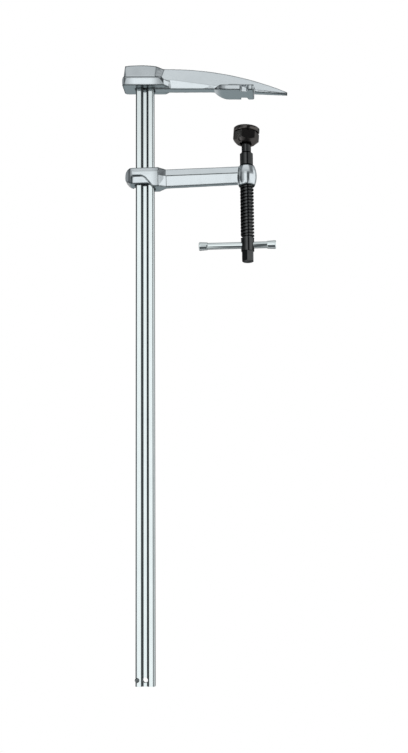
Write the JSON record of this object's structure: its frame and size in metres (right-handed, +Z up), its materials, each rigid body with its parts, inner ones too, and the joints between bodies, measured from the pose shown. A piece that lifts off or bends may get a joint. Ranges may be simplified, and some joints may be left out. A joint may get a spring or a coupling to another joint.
{
  "type": "rafter clamp",
  "caption": "All-steel screw clamp: a grooved rail, a fixed jaw that ends in a pointed beak, and a sliding arm whose screw spindle carries a swivel pad and a tommy bar.",
  "frame": {"origin": "where the spindle's axis meets the pressing face of the fixed jaw", "axes": "+Z up the rail, towards the fixed jaw; +X from the rail to the beak's tip; the clamp's middle plane is Y = 0"},
  "size_m": [0.1982, 0.031, 0.7253],
  "materials": {
    "plated_steel": "bright plated steel, drawn smooth",
    "plated_forging": "bright plated drop forging, with a fine forged grain",
    "black_steel": "black oxide, semi-gloss and lightly oiled",
    "spring_steel": "plain spring wire"
  },
  "bodies": {
    "frame": {"rail": "plated_steel", "fixed_jaw": "plated_forging", "rail_stop_pin": "plated_steel"},
    "sliding_arm": {"sliding_arm": "plated_forging"},
    "feed_carrier": {"pad_snap_ring": "spring_steel"},
    "spindle": {"spindle": "black_steel"},
    "pressure_pad": {"pressure_pad": "black_steel"},
    "tommy_bar": {"tommy_bar": "plated_steel", "tommy_bar_end_left": "plated_steel", "tommy_bar_end_right": "plated_steel"}
  },
  "joints": [
    {"name": "arm_slide", "type": "slide", "parent": "frame", "child": "sliding_arm", "axis": [0, 0, 1], "range_m": [-0.568, 0]},
    {"name": "spindle_feed", "type": "slide", "parent": "sliding_arm", "child": "feed_carrier", "axis": [0, 0, 1], "range_m": [0, 0.0381]},
    {"name": "spindle_turn", "type": "hinge", "parent": "feed_carrier", "child": "spindle", "pos_m": [0, 0, -0.1], "axis": [0, 0, 1], "range_deg": [0, 3420]},
    {"name": "bar_slide", "type": "slide", "parent": "spindle", "child": "tommy_bar", "axis": [1, 0, 0], "range_m": [-0.015, 0.0392]},
    {"name": "pad_tilt", "type": "hinge", "parent": "feed_carrier", "child": "pressure_pad", "pos_m": [0, 0, -0.0529], "axis": [0, 1, 0], "range_deg": [-12.5, 3.5]}
  ],
  "couplings": [
    {"joint": "spindle_feed", "follows": "spindle_turn", "m_per_rad": 0.00063662}
  ]
}
